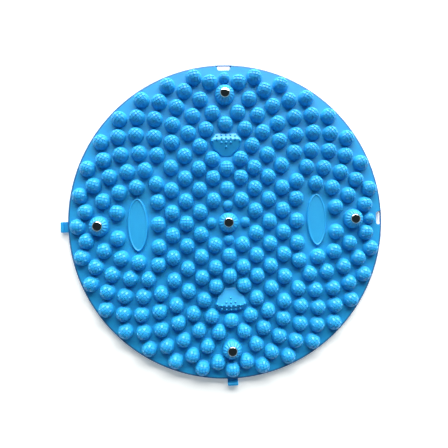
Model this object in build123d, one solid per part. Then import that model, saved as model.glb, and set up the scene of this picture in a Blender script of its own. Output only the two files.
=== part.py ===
from build123d import *
from math import cos, hypot, radians, sin, sqrt
import os

# A round foot massage mat: one thin plastic moulding with a turned-down skirt, covered in
# hollow round bumps, with five polished metal studs. Each stud sits in a larger fluted bump
# over a disc magnet and is closed from below by a plug. Hooks on two sides and slots on the
# other two link mats edge to edge.
#
# Millimetres. The origin is the centre of the underside, which rests on the floor. +Z is up,
# the hooks point to -X and -Y, and the slots are at +X and +Y.

# Panel and skirt
MAT_RADIUS = 195.0
PANEL_TOP = 6.0
PANEL_THICKNESS = 1.8
PANEL_UNDERSIDE = PANEL_TOP - PANEL_THICKNESS
SKIRT_THICKNESS = 2.0
RIM_ROUND = 1.9

# Regular bump: a plain ball-shaped shoulder, and a cap that stands a little proud of it
BUMP_RADIUS = 9.6
CAP_RADIUS = 7.2
CAP_RISE = 0.6
SMALL_BUMP_SCALE = 0.66
RIM_SMALL_BUMP_SCALE = 0.73
BUMP_WALL = 1.4
POST_RADIUS = 9.2

# Core of the mat: staggered columns of bumps, mirrored into the four quarters
COLUMN_PITCH = 17.1
HALF_ROW_PITCH = 13.85
CORE_ROWS = {0: (3,), 1: (2, 4), 2: (1, 3), 3: (0, 2, 4, 6), 4: (1, 3, 5), 5: (0, 2)}
EASED_BUMPS = [(0, 66.4), (17.5, 78.6), (34.2, 67.1), (32.3, 94.8), (87.0, 49.4)]
SMALL_BUMP_OFFSET = 21.2

# Outer rings: 32 places each, and every second ring is turned by half a place
PLACES = 32
STEP = 360 / PLACES
RING_A_RADIUS = 120.2
RING_B_RADIUS = 138.0
RING_C_RADIUS = 155.0
RING_D_RADIUS = 169.8
RING_E_RADIUS = 182.8
RIM_SMALL_BUMP_RADIUS = 178.0

# Stud stations
STATION_RADIUS = 157.2
STATION_BASE_RADIUS = 12.2
STATION_HEIGHT = 10.4
STATION_TOP_RADIUS = 6.9
FLUTES = 16
FLUTE_RADIUS = 0.8
STUD_RADIUS = 6.2
STUD_SHOULDER = 1.9
STUD_CROWN_RADIUS = 14.0
STUD_SEAT_DEPTH = 2.0
STUD_PLAY = 0.05
BORE_RADIUS = 5.2
SLEEVE_RADIUS = 6.9
STATION_POST_RADIUS = 10.6
STATION_CORE_RADIUS = 8.9
SPIGOT_LENGTH = 2.0
MAGNET_RADIUS = 5.0
MAGNET_THICKNESS = 4.0
PLUG_FLANGE_RADIUS = 6.2
PLUG_FLANGE_THICKNESS = 1.6
PLUG_WALL = 1.6

# Oval pads with a narrow raised lip
OVAL_OFFSET = 110.8
OVAL_LENGTH = 66.0
OVAL_WIDTH = 25.6
OVAL_HEIGHT = 2.6
OVAL_BEVEL = 1.4
OVAL_LIP = 1.2
OVAL_FIELD_DEPTH = 0.6
OVAL_POST_SPACING = 20.0
PLAIN_POST_RADIUS = 5.0

# Fan-shaped pads with pointed nubs; the blunt point faces the centre of the mat
FAN_OFFSET = 95.5
FAN_HALF_OUTLINE = [(6, -14.5), (17, -5), (21, 6), (13.5, 14.5)]
FAN_ROUND = 3.2
FAN_PROFILE = [(-14.5, 0.6), (6, 6.4), (14.5, 2.6)]
FAN_DRAFT = 18
NUB_ROWS = {-2.5: 1, 2.7: 3, 7.5: 7, 11.9: 5}
NUB_PITCH = 5.6
NUB_ARC = 45.0
NUB_RADIUS = 1.5
NUB_TIP_RADIUS = 0.5
NUB_HEIGHT = 1.7
FAN_POST_OFFSETS = [(-9.0, 5.0), (9.0, 5.0)]

# Link slots and hooks
SLOT_OUTER_WIDTH = 18.6
SLOT_INNER_WIDTH = 14.2
SLOT_DEPTH = 5.8
SLOT_BAR = 1.3
SLOT_ROUND = 1.5
SLOT_WALL = 1.3
SLOT_NOTCH_WIDTH = 15.6
SLOT_NOTCH_HEIGHT = 2.6
HOOK_WIDTH = 13.0
HOOK_CHANNEL = 5.2
HOOK_LIP = 3.3
HOOK_PLATE = 2.0
HOOK_HEIGHT = 6.6
HOOK_ROUND = 1.0

QUARTERS = [(1, 1), (-1, 1), (-1, -1), (1, -1)]
SIDES = {"right": 0, "back": 90, "left": 180, "front": 270}


def polar(radius, angle):
    """The point at a radius and an angle in degrees, measured from +X towards +Y."""
    return radius * cos(radians(angle)), radius * sin(radians(angle))


def mirrored(points):
    """Every point in all four quarters, once each."""
    found = []
    for x, y in points:
        for mirror_x, mirror_y in QUARTERS:
            place = (x * mirror_x, y * mirror_y)
            if all(hypot(place[0] - a, place[1] - b) > 1 for a, b in found):
                found.append(place)
    return found


def spin(*edges):
    """A solid of revolution about Z from edges drawn as (radius, height)."""
    return revolve(Plane.XZ * make_face(Curve() + list(edges)), Axis.Z)


def core_places():
    """Regular bumps inside the rings."""
    lattice = [
        (column * COLUMN_PITCH, row * HALF_ROW_PITCH)
        for column, rows in CORE_ROWS.items()
        for row in rows
    ]
    return mirrored(lattice + EASED_BUMPS)


def ring_places():
    """Regular bumps of the five rings. Places next to a stud, pad or slot are eased away."""
    ring_a = [polar(RING_A_RADIUS, STEP * k) for k in range(2, 7)]
    ring_a += [polar(RING_A_RADIUS - 2.3, 78.2), polar(RING_A_RADIUS + 1.4, 90)]
    ring_b = [polar(RING_B_RADIUS, STEP * (k + 0.5)) for k in range(1, 7)]
    ring_b += [polar(RING_B_RADIUS - 1.7, 6.6), polar(RING_B_RADIUS - 1.7, 83.4)]
    ring_c = [polar(RING_C_RADIUS, STEP * k) for k in range(1, 8)]
    ring_d = [polar(RING_D_RADIUS, STEP * (k + 0.5)) for k in range(1, 7)]
    ring_d += [polar(RING_D_RADIUS + 4.0, 5.85), polar(RING_D_RADIUS + 4.0, 84.15)]
    ring_e = [polar(RING_E_RADIUS, STEP * k) for k in range(2, 7)]
    ring_e += [polar(RING_E_RADIUS, 11.8), polar(RING_E_RADIUS, 78.2)]
    beside_hooks = [polar(RING_E_RADIUS, SIDES[side]) for side in ("left", "front")]
    return mirrored(ring_a + ring_b + ring_c + ring_d + ring_e) + beside_hooks


def small_places():
    """Small bumps as (x, y, scale): four round the centre and one inside each slot."""
    inner = [(*polar(SMALL_BUMP_OFFSET, angle), SMALL_BUMP_SCALE) for angle in SIDES.values()]
    outer = [
        (*polar(RIM_SMALL_BUMP_RADIUS, SIDES[side]), RIM_SMALL_BUMP_SCALE)
        for side in ("right", "back")
    ]
    return inner + outer


def bump(size):
    """A bump's outer shape, standing on the panel's top and sunk a little into it."""
    sink = -0.5 * PANEL_THICKNESS
    radius = BUMP_RADIUS * size
    cap = CAP_RADIUS * size
    cap_ball = (BUMP_RADIUS + CAP_RISE) * size
    crease = (cap, sqrt(radius**2 - cap**2))
    cap_foot = (cap, sqrt(cap_ball**2 - cap**2))
    crown = (0, cap_ball)
    return spin(
        Polyline((0, sink), (radius, sink), (radius, 0)),
        RadiusArc((radius, 0), crease, -radius),
        Line(crease, cap_foot),
        RadiusArc(cap_foot, crown, -cap_ball),
        Line(crown, (0, sink)),
    )


def bump_core(size):
    """The space inside a bump and its post, open at the floor."""
    radius = BUMP_RADIUS * size - BUMP_WALL
    crown = (0, PANEL_TOP + radius)
    return spin(
        Polyline((0, -1), (radius, -1), (radius, PANEL_TOP)),
        RadiusArc((radius, PANEL_TOP), crown, -radius),
        Line(crown, (0, -1)),
    )


def station():
    """The fluted outer shape that carries a stud, standing on the panel's top."""
    sink = -0.5 * PANEL_THICKNESS
    foot = (STATION_BASE_RADIUS, 0)
    shoulder = (STATION_BASE_RADIUS - 1.6, 0.6 * STATION_HEIGHT)
    top = (STATION_TOP_RADIUS, STATION_HEIGHT)
    body = spin(
        Polyline((0, sink), (STATION_BASE_RADIUS, sink), foot),
        ThreePointArc(foot, shoulder, top),
        Polyline(top, (0, STATION_HEIGHT), (0, sink)),
    )
    chord = Vector(*top) - Vector(*shoulder)
    groove_plane = Plane((shoulder[0], 0, shoulder[1]), z_dir=(chord.X, 0, chord.Y))
    groove = Pos(0, 0, 0.3) * extrude(groove_plane * Circle(FLUTE_RADIUS), chord.length + 2)
    return body - [Rot(0, 0, 360 / FLUTES * k) * groove for k in range(FLUTES)]


def station_cores():
    """Spaces inside a station: the stepped bore and the ring round its sleeve."""
    seat = PANEL_TOP + STATION_HEIGHT - STUD_SEAT_DEPTH
    pocket = extrude(Plane.XY.offset(seat) * Circle(STUD_RADIUS + STUD_PLAY), 5)
    bore = extrude(Plane.XY.offset(-1) * Circle(BORE_RADIUS), seat + 2)
    flange_seat = extrude(
        Plane.XY.offset(-1) * Circle(PLUG_FLANGE_RADIUS + STUD_PLAY), 1 + PLUG_FLANGE_THICKNESS
    )
    ring_top = PANEL_TOP + 0.45 * STATION_HEIGHT
    ring = extrude(
        Plane.XY.offset(-1) * (Circle(STATION_CORE_RADIUS) - Circle(SLEEVE_RADIUS)), ring_top + 1
    )
    return [pocket, bore, flange_seat, ring]


def oval(shrink=0.0):
    """The plan of an oval pad, its long axis along Y."""
    return Ellipse(OVAL_WIDTH / 2 - shrink, OVAL_LENGTH / 2 - shrink)


def oval_pad():
    """An oval plateau with a wide bevel and a lip round its slightly sunk field."""
    block = extrude(Plane.XY.offset(-1) * oval(), OVAL_HEIGHT + 1)
    block = chamfer(block.faces().sort_by(Axis.Z)[-1].edges(), OVAL_BEVEL)
    field_plane = Plane.XY.offset(OVAL_HEIGHT - OVAL_FIELD_DEPTH)
    return block - extrude(field_plane * oval(OVAL_BEVEL + OVAL_LIP), 2 * OVAL_FIELD_DEPTH)


def fan_height(v):
    """Height of a fan pad's top over the panel at a distance v outward from its middle."""
    (apex, low), (crest, high), (edge, end) = FAN_PROFILE
    if v < crest:
        return low + (high - low) * (v - apex) / (crest - apex)
    return high + (end - high) * (v - crest) / (edge - crest)


def nub_places():
    """Places of the nubs on a fan pad, in rows that curve round the mat's centre."""
    places = []
    for row, count in NUB_ROWS.items():
        for k in range(count):
            x = (k - (count - 1) / 2) * NUB_PITCH
            places.append((x, row - x**2 / (2 * NUB_ARC)))
    return places


def fan_pad():
    """A sloping fan-shaped mound, wide side towards +Y, with rows of pointed nubs."""
    outline = FAN_HALF_OUTLINE + [(-x, v) for x, v in reversed(FAN_HALF_OUTLINE)]
    plan = fillet(make_face(Polyline(*outline, close=True)).vertices(), FAN_ROUND)
    block = extrude(plan, 8, taper=FAN_DRAFT) + extrude(plan, -1)
    (apex, low), (crest, high), (edge, end) = FAN_PROFILE
    side = Polyline((apex - 2, -2), (apex - 2, low), (apex, low), (crest, high), (edge, end),
                    (edge + 2, end), (edge + 2, -2), close=True)
    wedge = extrude(Plane.YZ * make_face(side), 25, both=True)
    mound = block & wedge
    cone = Cone(NUB_RADIUS, NUB_TIP_RADIUS, NUB_HEIGHT + 1)
    nubs = [Pos(x, v, fan_height(v) + 0.5 * (NUB_HEIGHT - 1)) * cone for x, v in nub_places()]
    return mound + nubs


def slot_plan(grow=0.0):
    """The plan of the slot at +X: wide at the rim, narrow towards the centre."""
    outer = MAT_RADIUS - SLOT_BAR
    inner = outer - SLOT_DEPTH - grow
    half_outer = SLOT_OUTER_WIDTH / 2 + grow
    half_inner = SLOT_INNER_WIDTH / 2 + grow
    corners = [(outer, -half_outer), (outer, half_outer), (inner, half_inner), (inner, -half_inner)]
    face = make_face(Polyline(*corners, close=True))
    return fillet(face.vertices().sort_by(Axis.X)[:2], SLOT_ROUND + grow)


def slot_cut():
    """The window of the slot at +X, and the notch below its bar for a neighbour's hook."""
    window = extrude(Plane.XY.offset(-1) * slot_plan(), PANEL_TOP + 2)
    notch = Pos(MAT_RADIUS, 0, 0) * Box(8, SLOT_NOTCH_WIDTH, 2 * SLOT_NOTCH_HEIGHT)
    return [window, notch]


def hook():
    """The hook at +X: a plate low on the skirt with an upturned lip."""
    root = MAT_RADIUS - 0.5 * SKIRT_THICKNESS
    tip = MAT_RADIUS + HOOK_CHANNEL + HOOK_LIP
    lip = MAT_RADIUS + HOOK_CHANNEL
    side = Polyline((root, 0), (tip, 0), (tip, HOOK_HEIGHT), (lip, HOOK_HEIGHT),
                    (lip, HOOK_PLATE), (root, HOOK_PLATE), close=True)
    body = extrude(Plane.XZ * make_face(side), HOOK_WIDTH / 2, both=True)
    tip_edges = body.edges().filter_by(Axis.Z).group_by(Axis.X)[-1]
    body = fillet(tip_edges, 1.6 * HOOK_ROUND)
    return fillet(body.faces().sort_by(Axis.Z)[-1].edges(), HOOK_ROUND)


def stations():
    """Centres of the five stud stations by name."""
    places = {"centre": (0, 0)}
    for side, angle in SIDES.items():
        places[side] = polar(STATION_RADIUS, angle)
    return places


def mat_moulding():
    """The whole blue moulding: panel, skirt, bumps, pads, posts, slots and hooks."""
    slab = extrude(Circle(MAT_RADIUS), PANEL_TOP)
    slab = fillet(slab.faces().sort_by(Axis.Z)[-1].edges(), RIM_ROUND)
    regular = core_places() + ring_places()
    small = small_places()
    ovals = [(OVAL_OFFSET, 0), (-OVAL_OFFSET, 0)]

    top = [Pos(x, y, PANEL_TOP) * bump(1.0) for x, y in regular]
    top += [Pos(x, y, PANEL_TOP) * bump(size) for x, y, size in small]
    top += [Pos(x, y, PANEL_TOP) * station() for x, y in stations().values()]
    top += [Pos(x, y, PANEL_TOP) * oval_pad() for x, y in ovals]
    top += [Rot(0, 0, turn) * Pos(0, FAN_OFFSET, PANEL_TOP) * fan_pad() for turn in (0, 180)]
    top += [Rot(0, 0, SIDES[side]) * hook() for side in ("left", "front")]

    posts = [Pos(x, y) * Circle(POST_RADIUS) for x, y in regular]
    posts += [Pos(x, y) * Circle(POST_RADIUS * size) for x, y, size in small]
    posts += [Pos(x, y) * Circle(STATION_POST_RADIUS) for x, y in stations().values()]
    plain = [(x, step) for x, _ in ovals for step in (-OVAL_POST_SPACING, 0, OVAL_POST_SPACING)]
    plain += [(x * s, (FAN_OFFSET + v) * s) for x, v in FAN_POST_OFFSETS for s in (1, -1)]
    posts += [Pos(x, y) * Circle(PLAIN_POST_RADIUS) for x, y in plain]
    disc = Circle(MAT_RADIUS - SKIRT_THICKNESS).face()
    floor_plan = Face(disc.outer_wire(), [post.face().outer_wire() for post in posts])
    hollow = Pos(0, 0, -1) * Solid.extrude(floor_plan, Vector(0, 0, PANEL_UNDERSIDE + 1))
    slot_block = extrude(slot_plan(SLOT_WALL), PANEL_TOP)
    hollow -= [Rot(0, 0, SIDES[side]) * slot_block for side in ("right", "back")]

    cores = [Pos(x, y) * bump_core(1.0) for x, y in regular]
    cores += [Pos(x, y) * bump_core(size) for x, y, size in small]
    cores += [Pos(x, y) * core for x, y in stations().values() for core in station_cores()]
    bore = Pos(0, 0, PANEL_UNDERSIDE / 2 - 0.5) * Cylinder(
        PLAIN_POST_RADIUS - BUMP_WALL, PANEL_UNDERSIDE + 1)
    cores += [Pos(x, y) * bore for x, y in plain]
    cores += [Rot(0, 0, SIDES[side]) * cut for side in ("right", "back") for cut in slot_cut()]

    return (slab + top) - [hollow] - cores


def stud():
    """A button-shaped metal stud with a short spigot, at the centre station."""
    seat = PANEL_TOP + STATION_HEIGHT - STUD_SEAT_DEPTH
    brow = (STUD_RADIUS, PANEL_TOP + STATION_HEIGHT - 0.6)
    across = STUD_RADIUS - STUD_SHOULDER
    between = STUD_CROWN_RADIUS - STUD_SHOULDER
    drop = sqrt(between**2 - across**2)
    crown = (0, brow[1] + STUD_CROWN_RADIUS - drop)
    share = STUD_SHOULDER / between
    meet = (across * (1 + share), brow[1] + drop * share)
    spigot = BORE_RADIUS - STUD_PLAY
    outline = Polyline((0, seat - SPIGOT_LENGTH), (spigot, seat - SPIGOT_LENGTH),
                       (spigot, seat), (STUD_RADIUS, seat), brow)
    shoulder = RadiusArc(brow, meet, -STUD_SHOULDER)
    dome = RadiusArc(meet, crown, -STUD_CROWN_RADIUS)
    return spin(outline, shoulder, dome, Line(crown, (0, seat - SPIGOT_LENGTH)))


def magnet():
    """A disc magnet against the stud's spigot, at the centre station."""
    top = PANEL_TOP + STATION_HEIGHT - STUD_SEAT_DEPTH - SPIGOT_LENGTH
    disc = Pos(0, 0, top - MAGNET_THICKNESS / 2) * Cylinder(MAGNET_RADIUS, MAGNET_THICKNESS)
    return chamfer(disc.edges().filter_by(GeomType.CIRCLE), 0.3)


def plug():
    """A flanged cup that closes the bore and holds the magnet up, at the centre station."""
    top = PANEL_TOP + STATION_HEIGHT - STUD_SEAT_DEPTH - SPIGOT_LENGTH - MAGNET_THICKNESS
    stem = BORE_RADIUS - STUD_PLAY
    hollow = stem - PLUG_WALL
    floor = PLUG_FLANGE_THICKNESS
    return spin(Polyline((0, 0), (PLUG_FLANGE_RADIUS, 0), (PLUG_FLANGE_RADIUS, floor),
                         (stem, floor), (stem, top), (hollow, top), (hollow, floor),
                         (0, floor), close=True))


def main():
    os.makedirs("parts", exist_ok=True)
    export_step(mat_moulding().solids()[0], "parts/mat_moulding.step")
    for side, (x, y) in stations().items():
        for name, piece in (("stud", stud()), ("magnet", magnet()), ("plug", plug())):
            export_step(Pos(x, y) * piece, f"parts/{name}_{side}.step")


main()
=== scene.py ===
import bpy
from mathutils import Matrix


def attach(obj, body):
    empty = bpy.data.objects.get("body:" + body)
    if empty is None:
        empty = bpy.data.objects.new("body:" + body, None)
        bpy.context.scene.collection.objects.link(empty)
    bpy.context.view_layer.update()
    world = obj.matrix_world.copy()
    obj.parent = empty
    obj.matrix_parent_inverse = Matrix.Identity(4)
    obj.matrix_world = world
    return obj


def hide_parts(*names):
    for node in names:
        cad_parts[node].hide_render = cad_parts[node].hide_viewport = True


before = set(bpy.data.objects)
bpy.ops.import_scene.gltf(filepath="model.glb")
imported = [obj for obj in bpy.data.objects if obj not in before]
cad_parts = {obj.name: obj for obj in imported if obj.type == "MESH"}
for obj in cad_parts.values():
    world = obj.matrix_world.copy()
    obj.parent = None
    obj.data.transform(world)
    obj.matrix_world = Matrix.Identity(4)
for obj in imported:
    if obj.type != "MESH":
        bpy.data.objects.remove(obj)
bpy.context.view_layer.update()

from math import acos, atan2, cos, degrees, hypot, pi, radians, sin, sqrt

import bmesh
import bpy
import numpy as np
from mathutils import Vector
from mathutils.geometry import delaunay_2d_cdt

# A round foot massage mat in blue plastic. Shapes are worked out in millimetres, in the frame of
# the CAD model, and scaled to metres when a mesh is made.
MM = 0.001

# Studio, in metres: the camera's place and turn, the window-like key lamp and the floor
CAMERA_PLACE = (-0.0300, 0.0023, 0.4593)
CAMERA_TURN = (-0.0074, -0.0544, -0.0301)
CAMERA_LENS = 29.45
KEY_PLACE = (0.35, 2.25, 1.12)
KEY_SIZE = (4.0, 1.4)
KEY_POWER = 245
KEY_COLOUR = (1.0, 0.99, 0.95)
SKY_COLOUR = (0.55, 0.85, 1.0, 1)
FLOOR_HALF = 1.6
FLOOR_LEVEL = -0.0002
FLOOR_GLOW = 0.25
# Painted shade: the navy laid on the rim's rounding and skirt in place of the dark line of shade
# along the mat's edge
RIM_PAINTED_SHADE_COLOUR = (0.003, 0.12, 0.32)

# Segments round each kind of turned shape, and how far a post runs up into the panel
BUMP_POST_SEGMENTS = 20
BUMP_CORE_SEGMENTS = 16
STATION_SEGMENTS = 48
PLAIN_POST_SEGMENTS = 24
STUD_SEGMENTS = 64
POST_OVERLAP = 0.2

# Panel and skirt
MAT_RADIUS = 195.0
PANEL_TOP = 6.0
PANEL_UNDERSIDE = 4.2
SKIRT_THICKNESS = 2.0
RIM_ROUND = 1.9
RIM_SEGMENTS = 360

# Bumps
BUMP_RADIUS = 9.6
CAP_RADIUS = 7.2
CAP_RISE = 0.6
SMALL_BUMP_SCALE = 0.66
RIM_SMALL_BUMP_SCALE = 0.73
BUMP_WALL = 1.4
POST_RADIUS = 9.2
SINK = 0.9
LEDGE = 0.4
KNURL_PITCH = 3.6
KNURL_DEPTH = 0.85
KNURL_SLOPE = 0.6

# Places of the bumps
COLUMN_PITCH = 17.1
HALF_ROW_PITCH = 13.85
CORE_ROWS = {0: (3,), 1: (2, 4), 2: (1, 3), 3: (0, 2, 4, 6), 4: (1, 3, 5), 5: (0, 2)}
EASED_BUMPS = [(0, 66.4), (17.5, 78.6), (34.2, 67.1), (32.3, 94.8), (87.0, 49.4)]
SMALL_BUMP_OFFSET = 21.2
STEP = 360 / 32
RING_A_RADIUS = 120.2
RING_B_RADIUS = 138.0
RING_C_RADIUS = 155.0
RING_D_RADIUS = 169.8
RING_E_RADIUS = 182.8
RIM_SMALL_BUMP_RADIUS = 178.0

# Stud stations
STATION_RADIUS = 157.2
STATION_BASE_RADIUS = 12.2
STATION_HEIGHT = 10.4
STATION_TOP_RADIUS = 6.9
FLUTES = 16
FLUTE_DEPTH = 0.75
STUD_RADIUS = 6.2
STUD_SHOULDER = 1.9
STUD_CROWN_RADIUS = 14.0
STUD_SEAT_DEPTH = 2.0
STUD_BROW_DEPTH = 0.6
STUD_PLAY = 0.05
BORE_RADIUS = 5.2
SLEEVE_RADIUS = 6.9
STATION_POST_RADIUS = 10.6
STATION_CORE_RADIUS = 8.9
SPIGOT_LENGTH = 2.0
PLUG_FLANGE_RADIUS = 6.2
PLUG_FLANGE_THICKNESS = 1.6

# Pads
OVAL_OFFSET = 110.8
OVAL_LENGTH = 66.0
OVAL_WIDTH = 25.6
OVAL_HEIGHT = 2.6
OVAL_BEVEL = 1.4
OVAL_LIP = 1.2
OVAL_FIELD_DEPTH = 0.6
OVAL_POST_SPACING = 20.0
PLAIN_POST_RADIUS = 5.0
FAN_OFFSET = 95.5
FAN_HALF_OUTLINE = [(6, -14.5), (17, -5), (21, 6), (13.5, 14.5)]
FAN_ROUND = 3.2
FAN_PROFILE = [(-14.5, 0.6), (6, 6.4), (14.5, 2.6)]
FAN_WALL = [(0, 0), (0.9, 0.5), (1.3, 2.0), (1.7, 3.8), (2.3, 5.2), (3.2, 6.4), (4.4, 7.4)]
NUB_ROWS = {-2.5: 1, 2.7: 3, 7.5: 7, 11.9: 5}
NUB_PITCH = 5.6
NUB_ARC = 45.0
NUB_RADIUS = 1.5
NUB_TIP_RADIUS = 0.5
NUB_HEIGHT = 1.7
FAN_POST_OFFSETS = [(-9.0, 5.0), (9.0, 5.0)]

# Link slots and hooks
SLOT_OUTER_WIDTH = 18.6
SLOT_INNER_WIDTH = 14.2
SLOT_DEPTH = 5.8
SLOT_BAR = 1.3
SLOT_ROUND = 1.5
SLOT_WALL = 1.3
SLOT_NOTCH_WIDTH = 15.6
SLOT_NOTCH_HEIGHT = 2.6
HOOK_WIDTH = 13.0
HOOK_CHANNEL = 5.2
HOOK_LIP = 3.3
HOOK_PLATE = 2.0
HOOK_HEIGHT = 6.6

SIDES = {"right": 0, "back": 90, "left": 180, "front": 270}


# ---------------------------------------------------------------- places

def polar(radius, angle):
    return radius * cos(radians(angle)), radius * sin(radians(angle))


def mirrored(points):
    """Every point in all four quarters, once each."""
    found = []
    for x, y in points:
        for mirror_x, mirror_y in [(1, 1), (-1, 1), (-1, -1), (1, -1)]:
            place = (x * mirror_x, y * mirror_y)
            if all(hypot(place[0] - a, place[1] - b) > 1 for a, b in found):
                found.append(place)
    return found


def core_places():
    lattice = [
        (column * COLUMN_PITCH, row * HALF_ROW_PITCH)
        for column, rows in CORE_ROWS.items()
        for row in rows
    ]
    return mirrored(lattice + EASED_BUMPS)


def ring_places():
    ring_a = [polar(RING_A_RADIUS, STEP * k) for k in range(2, 7)]
    ring_a += [polar(RING_A_RADIUS - 2.3, 78.2), polar(RING_A_RADIUS + 1.4, 90)]
    ring_b = [polar(RING_B_RADIUS, STEP * (k + 0.5)) for k in range(1, 7)]
    ring_b += [polar(RING_B_RADIUS - 1.7, 6.6), polar(RING_B_RADIUS - 1.7, 83.4)]
    ring_c = [polar(RING_C_RADIUS, STEP * k) for k in range(1, 8)]
    ring_d = [polar(RING_D_RADIUS, STEP * (k + 0.5)) for k in range(1, 7)]
    ring_d += [polar(RING_D_RADIUS + 4.0, 5.85), polar(RING_D_RADIUS + 4.0, 84.15)]
    ring_e = [polar(RING_E_RADIUS, STEP * k) for k in range(2, 7)]
    ring_e += [polar(RING_E_RADIUS, 11.8), polar(RING_E_RADIUS, 78.2)]
    beside_hooks = [polar(RING_E_RADIUS, SIDES[side]) for side in ("left", "front")]
    return mirrored(ring_a + ring_b + ring_c + ring_d + ring_e) + beside_hooks


def small_places():
    inner = [(*polar(SMALL_BUMP_OFFSET, angle), SMALL_BUMP_SCALE) for angle in SIDES.values()]
    outer = [
        (*polar(RIM_SMALL_BUMP_RADIUS, SIDES[side]), RIM_SMALL_BUMP_SCALE)
        for side in ("right", "back")
    ]
    return inner + outer


def bump_places():
    """Every bump as (x, y, scale)."""
    return [(x, y, 1.0) for x, y in core_places() + ring_places()] + small_places()


def station_places():
    places = {"centre": (0.0, 0.0)}
    for side, angle in SIDES.items():
        places[side] = polar(STATION_RADIUS, angle)
    return places


# ---------------------------------------------------------------- mesh helpers

class Shape:
    """Vertices in millimetres and faces, to which copies of other shapes can be added."""

    def __init__(self, vertices=(), faces=()):
        self.vertices = np.array(vertices, float).reshape(-1, 3)
        self.faces = [tuple(face) for face in faces]

    def add(self, other, turn=0.0, scale=1.0, move=(0, 0, 0)):
        """Adds a copy of a shape, scaled, turned about Z by degrees, then moved."""
        c, s = cos(radians(turn)), sin(radians(turn))
        points = other.vertices * scale @ np.array([[c, s, 0], [-s, c, 0], [0, 0, 1]])
        first = len(self.vertices)
        self.vertices = np.vstack([self.vertices, points + np.array(move, float)])
        self.faces += [tuple(first + i for i in face) for face in other.faces]
        return self

    def object(self, name):
        mesh = bpy.data.meshes.new(name)
        mesh.from_pydata((self.vertices * MM).tolist(), [], self.faces)
        mesh.update()
        made = bpy.data.objects.new(name, mesh)
        bpy.context.scene.collection.objects.link(made)
        return made


def gathered(shapes):
    """Several copies of shapes in one, from (shape, keywords of Shape.add)."""
    whole = Shape()
    vertices, faces, first = [], [], 0
    for shape, how in shapes:
        copy = Shape().add(shape, **how)
        vertices.append(copy.vertices)
        faces += [tuple(first + i for i in face) for face in copy.faces]
        first += len(copy.vertices)
    whole.vertices = np.vstack(vertices)
    whole.faces = faces
    return whole


def skin(loops, closed=False):
    """A closed shape through equal loops from bottom to top, counter-clockwise from above.
    The first and last may be single points. With closed, the last loop joins the first."""
    vertices, starts, faces = [], [], []
    for loop in loops:
        starts.append(len(vertices))
        vertices += [tuple(point) for point in loop]
    count = max(len(loop) for loop in loops)
    pairs = list(zip(range(len(loops) - 1), range(1, len(loops))))
    if closed:
        pairs.append((len(loops) - 1, 0))
    for low, high in pairs:
        a, b = starts[low], starts[high]
        for i in range(count):
            j = (i + 1) % count
            if len(loops[low]) == 1:
                faces.append((a, b + j, b + i))
            elif len(loops[high]) == 1:
                faces.append((a + i, a + j, b))
            else:
                faces.append((a + i, a + j, b + j, b + i))
    if not closed:
        if len(loops[0]) > 1:
            faces.append(tuple(range(count - 1, -1, -1)))
        if len(loops[-1]) > 1:
            faces.append(tuple(starts[-1] + i for i in range(count)))
    return Shape(vertices, faces)


def circle(radius, height, angles):
    if radius == 0:
        return [(0, 0, height)]
    return [(*polar(radius, angle), height) for angle in angles]


def even(count):
    return [360 * i / count for i in range(count)]


def lathe(profile, count, closed=False):
    """A turned shape from (radius, height) points, from bottom to top on the outside."""
    return skin([circle(r, z, even(count)) for r, z in profile], closed)


def arc(centre, radius, start, end, steps):
    """Points of an arc in the plane of a profile, from angle start to end in degrees."""
    return [
        (centre[0] + radius * cos(radians(a)), centre[1] + radius * sin(radians(a)))
        for a in np.linspace(start, end, steps + 1)
    ]


def rounded(points, radius, steps=5):
    """A closed outline with its corners rounded. radius may be one number or one per corner."""
    radii = radius if isinstance(radius, (list, tuple)) else [radius] * len(points)
    out = []
    for i, (point, r) in enumerate(zip(points, radii)):
        p = np.array(point, float)
        before = np.array(points[i - 1], float) - p
        after = np.array(points[(i + 1) % len(points)], float) - p
        before /= np.linalg.norm(before)
        after /= np.linalg.norm(after)
        if r <= 0:
            out.append(tuple(p))
            continue
        half = acos(np.clip(before @ after, -1, 1)) / 2
        reach = r / np.tan(half)
        middle = p + (before + after) / np.linalg.norm(before + after) * r / sin(half)
        a = p + before * reach - middle
        b = p + after * reach - middle
        first = atan2(a[1], a[0])
        sweep = (atan2(b[1], b[0]) - first + pi) % (2 * pi) - pi
        for k in range(steps + 1):
            angle = first + sweep * k / steps
            out.append(tuple(middle + r * np.array([cos(angle), sin(angle)])))
    return out


def grown(outline, distance):
    """A convex outline moved outward by a distance."""
    points = np.array(outline, float)
    ahead = np.roll(points, -1, 0) - points
    ahead /= np.maximum(np.linalg.norm(ahead, axis=1), 1e-9)[:, None]
    normal = np.stack([ahead[:, 1], -ahead[:, 0]], 1)
    both = normal + np.roll(normal, 1, 0)
    both /= np.maximum(np.linalg.norm(both, axis=1), 1e-9)[:, None]
    lengthen = 1 / np.maximum((both * normal).sum(1), 0.5)
    return [tuple(p) for p in points + both * lengthen[:, None] * distance]


# ---------------------------------------------------------------- bumps

def knurl(x, y):
    """Height of the waffle pattern, 0 on its tops and -KNURL_DEPTH in its grooves."""
    to_groove = [abs((v / KNURL_PITCH + 0.5) % 1 - 0.5) * KNURL_PITCH for v in (x, y)]
    return -KNURL_DEPTH * (1 - min(1.0, min(to_groove) / KNURL_SLOPE))


def cap_height(x, y):
    ball = BUMP_RADIUS + CAP_RISE
    return sqrt(ball**2 - x**2 - y**2) + knurl(x, y)


def bump_angles():
    """Angles round a bump that fall where grooves meet the cap's edge."""
    groove = 90 - degrees(acos(KNURL_PITCH / CAP_RADIUS))
    quarter = [0, groove / 2, groove, (groove + 45) / 2, 45]
    quarter += [90 - a for a in quarter[3:0:-1]]
    return [a + turn for turn in (0, 90, 180, 270) for a in quarter]


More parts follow.
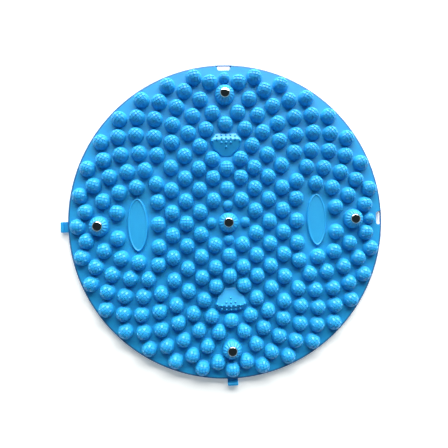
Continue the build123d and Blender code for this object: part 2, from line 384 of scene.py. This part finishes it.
def cap_plan(angles):
    """The cap's triangles in plan, with edges along its grooves, and its boundary first."""
    rim = [polar(CAP_RADIUS, a) for a in angles]
    points = [Vector(p) for p in rim]
    edges = [(i, (i + 1) % len(rim)) for i in range(len(rim))]
    flat = KNURL_PITCH / 2 - KNURL_SLOPE
    lines = [k * KNURL_PITCH for k in (-2, -1, 0, 1, 2)]
    inside = CAP_RADIUS - 0.35
    for x in lines:
        for y in lines:
            if hypot(x, y) < inside:
                points.append(Vector((x, y)))
    for column in (-1.5, -0.5, 0.5, 1.5):
        for row in (-1.5, -0.5, 0.5, 1.5):
            for dx, dy in [(-1, -1), (1, -1), (1, 1), (-1, 1)]:
                place = (column * KNURL_PITCH + dx * flat, row * KNURL_PITCH + dy * flat)
                if hypot(*place) < inside:
                    points.append(Vector(place))
    groups = {}
    for i, p in enumerate(points):
        for axis in (0, 1):
            for line in lines:
                if abs(p[axis] - line) < 0.05:
                    groups.setdefault((axis, line), []).append((p[1 - axis], i))
    for members in groups.values():
        members.sort()
        edges += [(a[1], b[1]) for a, b in zip(members, members[1:])]
    out = delaunay_2d_cdt(points, edges, [], 0, 1e-4)
    plan, faces = out[0], out[2]
    boundary = {}
    for i, p in enumerate(rim):
        gap = [(p[0] - q[0])**2 + (p[1] - q[1])**2 for q in plan]
        boundary[int(np.argmin(gap))] = i
    return plan, faces, boundary


def bump_shape():
    """One knurled bump about the origin, sunk below the panel's top at height 0."""
    angles = bump_angles()
    crease = degrees(acos((CAP_RADIUS + LEDGE) / BUMP_RADIUS))
    flank = arc((0, 0), BUMP_RADIUS, 4, crease, 3)
    profile = [(BUMP_RADIUS + 0.45, -SINK), (BUMP_RADIUS + 0.45, 0), (BUMP_RADIUS + 0.12, 0.35)]
    profile += [*flank, (CAP_RADIUS + 0.1, flank[-1][1] - 0.05)]
    loops = [circle(r, z, angles) for r, z in profile]
    body = skin(loops)
    body.faces.pop()
    edge_start = len(body.vertices)
    plan, faces, boundary = cap_plan(angles)
    rim = [(*polar(CAP_RADIUS, a), cap_height(*polar(CAP_RADIUS, a))) for a in angles]
    points = rim
    place = {}
    for i, p in enumerate(plan):
        if i in boundary:
            place[i] = edge_start + boundary[i]
        else:
            place[i] = edge_start + len(points)
            points.append((p[0], p[1], cap_height(p[0], p[1])))
    body.vertices = np.vstack([body.vertices, np.array(points)])
    count = len(angles)
    last = edge_start - count
    for i in range(count):
        j = (i + 1) % count
        body.faces.append((last + i, last + j, edge_start + j, edge_start + i))
    for face in faces:
        body.faces.append(tuple(place[i] for i in face))
    return body


def bump_groups():
    """The bumps in groups within which none touch, each with its shape's turn, scale and place."""
    groups = []
    for x, y, size in bump_places():
        reach = (BUMP_RADIUS + 0.5) * size
        turn = degrees(atan2(y, x))
        for group in groups:
            if all(hypot(x - a, y - b) > reach + r for a, b, r, _ in group):
                group.append((x, y, reach, (turn, size)))
                break
        else:
            groups.append([(x, y, reach, (turn, size))])
    return groups


# ---------------------------------------------------------------- stations and studs

def station_shape():
    """The fluted dome that carries a stud, about the origin, panel's top at height 0."""
    steps, per_flute = 9, 8
    angles = even(FLUTES * per_flute)
    shoulder = (STATION_BASE_RADIUS - 1.6, 0.6 * STATION_HEIGHT)
    foot, top = (STATION_BASE_RADIUS, 0.0), (STATION_TOP_RADIUS, STATION_HEIGHT - 0.25)
    loops = [circle(STATION_BASE_RADIUS + 0.3, -SINK, angles)]
    loops.append(circle(STATION_BASE_RADIUS + 0.3, 0, angles))
    for k in range(steps + 1):
        t = k / steps
        r = (1 - t) ** 2 * foot[0] + 2 * t * (1 - t) * (shoulder[0] + 1.5) + t**2 * top[0]
        z = (1 - t) ** 2 * 0.25 + 2 * t * (1 - t) * (shoulder[1] + 1.6) + t**2 * top[1]
        depth = FLUTE_DEPTH * min(1.0, max(0.0, (t - 0.3) / 0.3)) * min(1.0, (1.08 - t) / 0.16)
        slope = atan2(top[1] - shoulder[1], shoulder[0] - top[0])
        loop = []
        for angle in angles:
            wave = 0.5 + 0.5 * cos(radians(angle * FLUTES))
            cut = depth * wave**1.5
            loop.append((*polar(r - cut * sin(slope), angle), z - cut * cos(slope)))
        loops.append(loop)
    loops.append(circle(STATION_TOP_RADIUS - 0.3, STATION_HEIGHT, angles))
    return skin(loops)


def stud_profile():
    seat = PANEL_TOP + STATION_HEIGHT - STUD_SEAT_DEPTH
    brow = PANEL_TOP + STATION_HEIGHT - STUD_BROW_DEPTH
    across = STUD_RADIUS - STUD_SHOULDER
    drop = sqrt((STUD_CROWN_RADIUS - STUD_SHOULDER)**2 - across**2)
    meet = degrees(atan2(drop, across))
    spigot = BORE_RADIUS - STUD_PLAY
    low = [(0, seat - SPIGOT_LENGTH), (spigot - 0.3, seat - SPIGOT_LENGTH)]
    low += [(spigot, seat - SPIGOT_LENGTH + 0.3), (spigot, seat), (STUD_RADIUS - 0.15, seat)]
    low += [(STUD_RADIUS, seat + 0.15)]
    shoulder = arc((across, brow), STUD_SHOULDER, 0, meet, 8)
    dome = arc((0, brow - drop), STUD_CROWN_RADIUS, meet, 90, 8)[1:]
    dome[-1] = (0, dome[-1][1])
    return low + shoulder + dome


# ---------------------------------------------------------------- pads, slots and hooks

def oval_outline(shrink):
    """A slightly pointed oval, its long axis along Y."""
    points = []
    for angle in even(72):
        c, s = cos(radians(angle)), sin(radians(angle))
        x = (OVAL_WIDTH / 2 - shrink) * np.sign(c) * abs(c) ** 1.12
        points.append((x, (OVAL_LENGTH / 2 - shrink) * s))
    return points


def oval_shape():
    """An oval pad with a lip round its slightly sunk field, panel's top at height 0."""
    lip, field = OVAL_BEVEL + OVAL_LIP, OVAL_HEIGHT - OVAL_FIELD_DEPTH
    steps = [(0, -SINK), (0, 0.2), (0.25, 0.8), (OVAL_BEVEL - 0.3, OVAL_HEIGHT - 0.25)]
    steps += [(OVAL_BEVEL, OVAL_HEIGHT - 0.05), (OVAL_BEVEL + 0.3, OVAL_HEIGHT)]
    steps += [(lip - 0.3, OVAL_HEIGHT - 0.03), (lip + 0.2, field + 0.12), (lip + 0.6, field)]
    return skin([[(x, y, z) for x, y in oval_outline(shrink)] for shrink, z in steps])


def fan_height(v):
    """Height of a fan pad's top over the panel at a distance v outward from its middle."""
    (apex, low), (crest, high), (edge, end) = FAN_PROFILE
    if v < crest:
        return low + (high - low) * (v - apex) / (crest - apex)
    return high + (end - high) * (v - crest) / (edge - crest)


def nub_places():
    places = []
    for row, count in NUB_ROWS.items():
        for k in range(count):
            x = (k - (count - 1) / 2) * NUB_PITCH
            places.append((x, row - x**2 / (2 * NUB_ARC)))
    return places


def eased_minimum(a, b):
    """The smaller of two heights, with the corner between them rounded, and never below 0."""
    low, gap = min(a, b), abs(a - b)
    return max(0.0, low - np.log1p(np.exp(-3 * gap)) / 3 * min(1.0, low))


def fan_shape():
    """A sloping fan-shaped mound, wide side towards +Y, panel's top at height 0."""
    corners = FAN_HALF_OUTLINE + [(-x, v) for x, v in reversed(FAN_HALF_OUTLINE)]
    outline = np.array(rounded(corners, FAN_ROUND, 6))
    crest = FAN_PROFILE[1][0]
    away = outline - [0, crest]
    reach = np.hypot(*away.T)
    loops = [[(x, y, -SINK) for x, y in outline]]
    for inset, wall in FAN_WALL:
        plan = [0, crest] + away * (1 - inset / reach)[:, None]
        loops.append([(x, v, eased_minimum(fan_height(v), wall)) for x, v in plan])
    for share in (0.66, 0.33):
        smaller = [0, crest] + (plan - [0, crest]) * share
        loops.append([(x, v, fan_height(v)) for x, v in smaller])
    loops.append([(0, crest, fan_height(crest) - 0.1)])
    return skin(loops)


def nub_shape():
    profile = [(NUB_RADIUS, -1.2), (NUB_RADIUS, 0), (1.1, 0.9), (NUB_TIP_RADIUS, NUB_HEIGHT - 0.25)]
    return lathe(profile + [(0, NUB_HEIGHT)], 12)


def slot_outline(grow=0.0):
    outer = MAT_RADIUS - SLOT_BAR
    inner = outer - SLOT_DEPTH
    half_outer, half_inner = SLOT_OUTER_WIDTH / 2, SLOT_INNER_WIDTH / 2
    corners = [(outer, -half_outer), (outer, half_outer), (inner, half_inner), (inner, -half_inner)]
    outline = rounded(corners, [0.3, 0.3, SLOT_ROUND, SLOT_ROUND], 5)
    return [(min(x, outer), y) for x, y in grown(outline, grow)] if grow else outline


def slot_window():
    """The window of the slot at +X, with an eased top edge."""
    steps = [(0.0, -1.0), (0.0, PANEL_TOP - 0.45), (0.12, PANEL_TOP - 0.2)]
    steps += [(0.45, PANEL_TOP + 0.05), (0.45, PANEL_TOP + 2)]
    return skin([[(x, y, z) for x, y in slot_outline(grow)] for grow, z in steps])


def hook_shape():
    """The hook at +X, its side outline spread over its width, with eased sides."""
    root, lip = MAT_RADIUS - 0.9 * SKIRT_THICKNESS, MAT_RADIUS + HOOK_CHANNEL
    tip = lip + HOOK_LIP
    corners = [(root, 0), (tip, 0), (tip, HOOK_HEIGHT), (lip, HOOK_HEIGHT), (lip, HOOK_PLATE),
               (root, HOOK_PLATE)]
    outline = rounded(corners, [0, 0.5, 1.3, 0.8, 0.5, 0], 4)
    half = HOOK_WIDTH / 2
    loops = []
    for y, ease in [(-half, 0.7), (-half + 0.25, 0.25), (-half + 0.8, 0), (half - 0.8, 0),
                    (half - 0.25, 0.25), (half, 0.7)]:
        loop = []
        for x, z in outline:
            if x > lip + 0.2 and z > HOOK_PLATE:
                x, z = x - ease * (x - lip) / HOOK_LIP, z - ease * 0.5
            loop.append((x, y, z))
        loops.append(loop[::-1])
    return skin(loops)


def box_shape(low, high):
    (x0, y0, z0), (x1, y1, z1) = low, high
    plan = [(x0, y0), (x1, y0), (x1, y1), (x0, y1)]
    return skin([[(x, y, z0) for x, y in plan], [(x, y, z1) for x, y in plan]])


# ---------------------------------------------------------------- the moulding

def slab_shape():
    """Panel and skirt as one turned shell, with a rounded rim."""
    edge = MAT_RADIUS - RIM_ROUND
    inner = MAT_RADIUS - SKIRT_THICKNESS
    profile = [(inner, 0.25), (inner + 0.25, 0), (MAT_RADIUS - 0.3, 0), (MAT_RADIUS, 0.3)]
    profile += arc((edge, PANEL_TOP - RIM_ROUND), RIM_ROUND, 0, 90, 6)
    profile += [(0, PANEL_TOP)]
    under = [(0, PANEL_UNDERSIDE), (inner - 0.5, PANEL_UNDERSIDE), (inner, PANEL_UNDERSIDE - 0.5)]
    low = [circle(r, z, even(RIM_SEGMENTS)) for r, z in under]
    high = [circle(r, z, even(RIM_SEGMENTS)) for r, z in profile]
    return skin(low + high)


def post_shapes():
    """Posts below the panel, from the floor up into it."""
    def post(radius, segments):
        return lathe([(radius, 0), (radius, PANEL_UNDERSIDE + POST_OVERLAP)], segments)

    posts = []
    for x, y, size in bump_places():
        posts.append((post(POST_RADIUS * size, BUMP_POST_SEGMENTS), {"move": (x, y, 0)}))
    for x, y in station_places().values():
        posts.append((post(STATION_POST_RADIUS, STATION_SEGMENTS), {"move": (x, y, 0)}))
    for x, y in plain_places():
        posts.append((post(PLAIN_POST_RADIUS, PLAIN_POST_SEGMENTS), {"move": (x, y, 0)}))
    return gathered(posts)


def plain_places():
    ovals = [OVAL_OFFSET, -OVAL_OFFSET]
    plain = [(x, step) for x in ovals for step in (-OVAL_POST_SPACING, 0, OVAL_POST_SPACING)]
    return plain + [(x * s, (FAN_OFFSET + v) * s) for x, v in FAN_POST_OFFSETS for s in (1, -1)]


def core_shapes():
    """Spaces inside the bumps, stations and plain posts, open at the floor."""
    cores = []
    for x, y, size in bump_places():
        radius = BUMP_RADIUS * size - BUMP_WALL
        dome = arc((0, PANEL_TOP), radius, 0, 90, 3)
        dome[-1] = (0, dome[-1][1])
        cores.append((lathe([(radius, -1), *dome], BUMP_CORE_SEGMENTS), {"move": (x, y, 0)}))
    seat = PANEL_TOP + STATION_HEIGHT - STUD_SEAT_DEPTH
    flange, pocket = PLUG_FLANGE_RADIUS + STUD_PLAY, STUD_RADIUS + STUD_PLAY
    bore = lathe([
        (flange, -1), (flange, PLUG_FLANGE_THICKNESS), (BORE_RADIUS, PLUG_FLANGE_THICKNESS),
        (BORE_RADIUS, seat), (pocket, seat), (pocket, seat + 5),
    ], STATION_SEGMENTS)
    ring_top = PANEL_TOP + 0.45 * STATION_HEIGHT
    ring = lathe([
        (STATION_CORE_RADIUS, -1), (STATION_CORE_RADIUS, ring_top),
        (SLEEVE_RADIUS, ring_top), (SLEEVE_RADIUS, -1),
    ], STATION_SEGMENTS, closed=True)
    for x, y in station_places().values():
        cores += [(bore, {"move": (x, y, 0)}), (ring, {"move": (x, y, 0)})]
    radius = PLAIN_POST_RADIUS - BUMP_WALL
    plain = lathe([(radius, -1), (radius, PANEL_UNDERSIDE)], PLAIN_POST_SEGMENTS)
    cores += [(plain, {"move": (x, y, 0)}) for x, y in plain_places()]
    return gathered(cores)


def combined(base, steps):
    """The base after a row of boolean steps, as a new object. The operands are removed."""
    operands = []
    for kind, shape in steps:
        operand = shape.object("operand")
        step = base.modifiers.new("step", "BOOLEAN")
        step.operation = kind
        step.solver = "MANIFOLD"
        step.object = operand
        operands.append(operand)
    ready = base.evaluated_get(bpy.context.evaluated_depsgraph_get())
    mesh = bpy.data.meshes.new_from_object(ready)
    made = bpy.data.objects.new("mat_moulding_shell", mesh)
    bpy.context.scene.collection.objects.link(made)
    for spare in [base, *operands]:
        bpy.data.objects.remove(spare)
    return made


def keep_flats_flat(mesh):
    """Makes the edges round level faces sharp, so that no flat face is shaded as if it curved."""
    work = bmesh.new()
    work.from_mesh(mesh)
    for edge in work.edges:
        level = [abs(face.normal.z) > 0.99999 for face in edge.link_faces]
        if any(level) and not all(level):
            edge.smooth = False
    work.to_mesh(mesh)
    work.free()


def cleaned(made, angle):
    """Welds and tidies a mesh, shades it smooth and keeps edges over the angle sharp."""
    work = bmesh.new()
    work.from_mesh(made.data)
    bmesh.ops.remove_doubles(work, verts=work.verts, dist=2e-6)
    bmesh.ops.dissolve_degenerate(work, dist=2e-6, edges=work.edges)
    bmesh.ops.recalc_face_normals(work, faces=work.faces)
    open_edges = sum(1 for e in work.edges if len(e.link_faces) != 2)
    work.to_mesh(made.data)
    work.free()
    made.data.shade_smooth()
    made.data.set_sharp_from_angle(angle=radians(angle))
    keep_flats_flat(made.data)
    triangles = sum(len(p.vertices) - 2 for p in made.data.polygons)
    print(made.name, len(made.data.vertices), "vertices", len(made.data.polygons), "faces",
          triangles, "triangles", open_edges, "open edges")
    return made


def moulding():
    bump = bump_shape()
    steps = [("UNION", post_shapes())]
    wall = slot_outline(SLOT_WALL)
    block = skin([[(x, y, z) for x, y in wall] for z in (0, PANEL_UNDERSIDE + 0.4)])
    slots = [SIDES["right"], SIDES["back"]]
    steps.append(("UNION", gathered([(block, {"turn": turn}) for turn in slots])))
    for group in bump_groups():
        steps.append(("UNION", gathered([
            (bump, {"turn": turn, "scale": size, "move": (x, y, PANEL_TOP)})
            for x, y, _, (turn, size) in group
        ])))
    station = station_shape()
    stations = [(station, {"move": (x, y, PANEL_TOP)}) for x, y in station_places().values()]
    steps.append(("UNION", gathered(stations)))
    pads = [(oval_shape(), {"move": (x, 0, PANEL_TOP)}) for x in (OVAL_OFFSET, -OVAL_OFFSET)]
    fan, nub = fan_shape(), nub_shape()
    nubs = gathered([(nub, {"move": (x, v, fan_height(v) - 0.25)}) for x, v in nub_places()])
    for turn, y in ((0, FAN_OFFSET), (180, -FAN_OFFSET)):
        pads.append((fan, {"turn": turn, "move": (0, y, PANEL_TOP)}))
    steps.append(("UNION", gathered(pads)))
    steps.append(("UNION", gathered([
        (nubs, {"turn": turn, "move": (0, y, PANEL_TOP)})
        for turn, y in ((0, FAN_OFFSET), (180, -FAN_OFFSET))
    ])))
    hooks = [SIDES["left"], SIDES["front"]]
    steps.append(("UNION", gathered([(hook_shape(), {"turn": turn}) for turn in hooks])))
    steps.append(("DIFFERENCE", core_shapes()))
    steps.append(("DIFFERENCE", gathered([(slot_window(), {"turn": turn}) for turn in slots])))
    half = SLOT_NOTCH_WIDTH / 2
    notch = box_shape((MAT_RADIUS - 4, -half, -1), (MAT_RADIUS + 4, half, SLOT_NOTCH_HEIGHT))
    steps.append(("DIFFERENCE", gathered([(notch, {"turn": turn}) for turn in slots])))
    return cleaned(combined(slab_shape().object("slab"), steps), 30)


# ---------------------------------------------------------------- materials

def new_material(name):
    material = bpy.data.materials.new(name)
    material.use_nodes = True
    nodes, links = material.node_tree.nodes, material.node_tree.links
    return material, nodes, links, nodes["Principled BSDF"]


def noise(nodes, links, source, scale, detail=2.0):
    node = nodes.new("ShaderNodeTexNoise")
    node.inputs["Scale"].default_value = scale
    node.inputs["Detail"].default_value = detail
    links.new(source, node.inputs["Vector"])
    return node.outputs["Fac"]


def remap(nodes, links, source, low, high, to_low, to_high):
    node = nodes.new("ShaderNodeMapRange")
    ends = {"From Min": low, "From Max": high, "To Min": to_low, "To Max": to_high}
    for name, value in ends.items():
        node.inputs[name].default_value = value
    links.new(source, node.inputs["Value"])
    return node.outputs["Result"]


def mixed(nodes, links, factor, first, second):
    node = nodes.new("ShaderNodeMix")
    node.data_type = "RGBA"
    links.new(factor, node.inputs["Factor"])
    for socket, value in ((node.inputs["A"], first), (node.inputs["B"], second)):
        if isinstance(value, tuple):
            socket.default_value = (*value, 1)
        else:
            links.new(value, socket)
    return node.outputs["Result"]


def blue_plastic():
    """Clouded, finely grained blue, with painted shade: a navy band over the rim's rounding and the
    skirt.
    """
    material, nodes, links, shader = new_material("blue_plastic")
    place = nodes.new("ShaderNodeTexCoord").outputs["Object"]
    cloud = remap(nodes, links, noise(nodes, links, place, 26, 3), 0.35, 0.65, 0, 1)
    grain = noise(nodes, links, place, 900, 2)
    base = mixed(nodes, links, cloud, (0.005, 0.31, 0.65), (0.009, 0.34, 0.70))
    split = nodes.new("ShaderNodeSeparateXYZ")
    links.new(place, split.inputs[0])
    flat = nodes.new("ShaderNodeCombineXYZ")
    links.new(split.outputs["X"], flat.inputs["X"])
    links.new(split.outputs["Y"], flat.inputs["Y"])
    length = nodes.new("ShaderNodeVectorMath")
    length.operation = "LENGTH"
    links.new(flat.outputs[0], length.inputs[0])
    # Painted shade mask: 1 from just inside the skirt's inner face out to the mat's edge, where the
    # blue turns navy
    inner, outer = (MAT_RADIUS - SKIRT_THICKNESS) * MM, MAT_RADIUS * MM
    inside = remap(nodes, links, length.outputs["Value"], inner - 0.0007, inner - 0.0001, 0, 1)
    outside = remap(nodes, links, length.outputs["Value"], outer + 0.0001, outer + 0.0004, 1, 0)
    rim = nodes.new("ShaderNodeMath")
    rim.operation = "MULTIPLY"
    links.new(inside, rim.inputs[0])
    links.new(outside, rim.inputs[1])
    links.new(mixed(nodes, links, rim.outputs[0], base, RIM_PAINTED_SHADE_COLOUR), shader.inputs["Base Color"])
    links.new(remap(nodes, links, grain, 0.3, 0.7, 0.5, 0.58), shader.inputs["Roughness"])
    bump = nodes.new("ShaderNodeBump")
    bump.inputs["Strength"].default_value = 0.25
    bump.inputs["Distance"].default_value = 0.0001
    links.new(grain, bump.inputs["Height"])
    links.new(bump.outputs["Normal"], shader.inputs["Normal"])
    shader.inputs["IOR"].default_value = 1.5
    shader.inputs["Specular IOR Level"].default_value = 0.65
    shader.inputs["Subsurface Weight"].default_value = 0.3
    shader.inputs["Subsurface Radius"].default_value = (0.15, 0.6, 1.0)
    shader.inputs["Subsurface Scale"].default_value = 0.004
    return material


def polished_metal():
    material, nodes, links, shader = new_material("polished_metal")
    place = nodes.new("ShaderNodeTexCoord").outputs["Object"]
    smear = noise(nodes, links, place, 420, 3)
    shader.inputs["Metallic"].default_value = 1.0
    links.new(mixed(nodes, links, smear, (0.40, 0.40, 0.41), (0.50, 0.50, 0.50)),
              shader.inputs["Base Color"])
    links.new(remap(nodes, links, smear, 0.3, 0.7, 0.05, 0.12), shader.inputs["Roughness"])
    return material


def plated_magnet():
    material, nodes, links, shader = new_material("plated_magnet")
    place = nodes.new("ShaderNodeTexCoord").outputs["Object"]
    speckle = noise(nodes, links, place, 1500, 2)
    shader.inputs["Metallic"].default_value = 1.0
    links.new(mixed(nodes, links, speckle, (0.45, 0.44, 0.43), (0.58, 0.57, 0.55)),
              shader.inputs["Base Color"])
    links.new(remap(nodes, links, speckle, 0.3, 0.7, 0.25, 0.4), shader.inputs["Roughness"])
    return material


def matt_plug():
    material, nodes, links, shader = new_material("matt_plug")
    place = nodes.new("ShaderNodeTexCoord").outputs["Object"]
    grain = noise(nodes, links, place, 1200, 3)
    links.new(mixed(nodes, links, grain, (0.014, 0.17, 0.50), (0.02, 0.21, 0.56)),
              shader.inputs["Base Color"])
    links.new(remap(nodes, links, grain, 0.3, 0.7, 0.5, 0.65), shader.inputs["Roughness"])
    return material


def pale_floor():
    """Near white, with a weak glow of its own so that it stays white round the mat."""
    material, nodes, links, shader = new_material("pale_floor")
    place = nodes.new("ShaderNodeTexCoord").outputs["Object"]
    faint = noise(nodes, links, place, 3, 2)
    links.new(mixed(nodes, links, faint, (0.95, 0.95, 0.95), (0.97, 0.97, 0.97)),
              shader.inputs["Base Color"])
    shader.inputs["Roughness"].default_value = 0.9
    shader.inputs["Specular IOR Level"].default_value = 0.1
    shader.inputs["Emission Color"].default_value = (1, 1, 1, 1)
    shader.inputs["Emission Strength"].default_value = FLOOR_GLOW
    return material


# ---------------------------------------------------------------- scene

def dress(made, material, slot_name, *replaced):
    made.data.materials.clear()
    made.data.materials.append(material)
    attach(made, "root")
    if replaced:
        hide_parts(*replaced)
    return made


def lights():
    def area(name, place, target, size, power, colour):
        data = bpy.data.lights.new(name, "AREA")
        data.shape = "RECTANGLE"
        data.size, data.size_y = size
        data.energy = power
        data.color = colour
        lamp = bpy.data.objects.new(name, data)
        lamp.location = place
        lamp.rotation_euler = (Vector(target) - Vector(place)).to_track_quat("-Z", "Y").to_euler()
        bpy.context.scene.collection.objects.link(lamp)

    area("key", KEY_PLACE, (0, 0, 0), KEY_SIZE, KEY_POWER, KEY_COLOUR)
    world = bpy.data.worlds.new("studio")
    world.use_nodes = True
    nodes, links = world.node_tree.nodes, world.node_tree.links
    back = nodes["Background"]
    back.inputs["Color"].default_value = SKY_COLOUR
    split = nodes.new("ShaderNodeSeparateXYZ")
    links.new(nodes.new("ShaderNodeTexCoord").outputs["Generated"], split.inputs[0])
    ring = remap(nodes, links, split.outputs["Z"], 0.1, 0.42, 2.2, 0.05)
    links.new(ring, back.inputs["Strength"])
    bpy.context.scene.world = world


def camera():
    data = bpy.data.cameras.new("camera")
    data.sensor_width = 36.0
    data.lens = CAMERA_LENS
    data.clip_start = 0.01
    eye = bpy.data.objects.new("camera", data)
    eye.location = CAMERA_PLACE
    eye.rotation_euler = CAMERA_TURN
    bpy.context.scene.collection.objects.link(eye)
    bpy.context.scene.camera = eye


def floor():
    half = FLOOR_HALF
    corners = [(-half, -half), (half, -half), (half, half), (-half, half)]
    mesh = bpy.data.meshes.new("floor")
    mesh.from_pydata([(x, y, FLOOR_LEVEL) for x, y in corners], [], [(0, 1, 2, 3)])
    ground = bpy.data.objects.new("floor", mesh)
    ground.data.materials.append(pale_floor())
    bpy.context.scene.collection.objects.link(ground)


plastic, metal, magnet, plug = blue_plastic(), polished_metal(), plated_magnet(), matt_plug()
dress(moulding(), plastic, "mat_plastic", "mat_moulding")
stud = lathe(stud_profile(), STUD_SEGMENTS)
for side, (x, y) in station_places().items():
    made = Shape().add(stud, move=(x, y, 0)).object(f"stud_{side}_turned")
    dress(cleaned(made, 38), metal, "stud_metal", f"stud_{side}")
    for name, material in ((f"magnet_{side}", magnet), (f"plug_{side}", plug)):
        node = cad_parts[name]
        node.data.materials.clear()
        node.data.materials.append(material)
floor()
lights()
camera()
bpy.context.scene.view_settings.view_transform = "Standard"
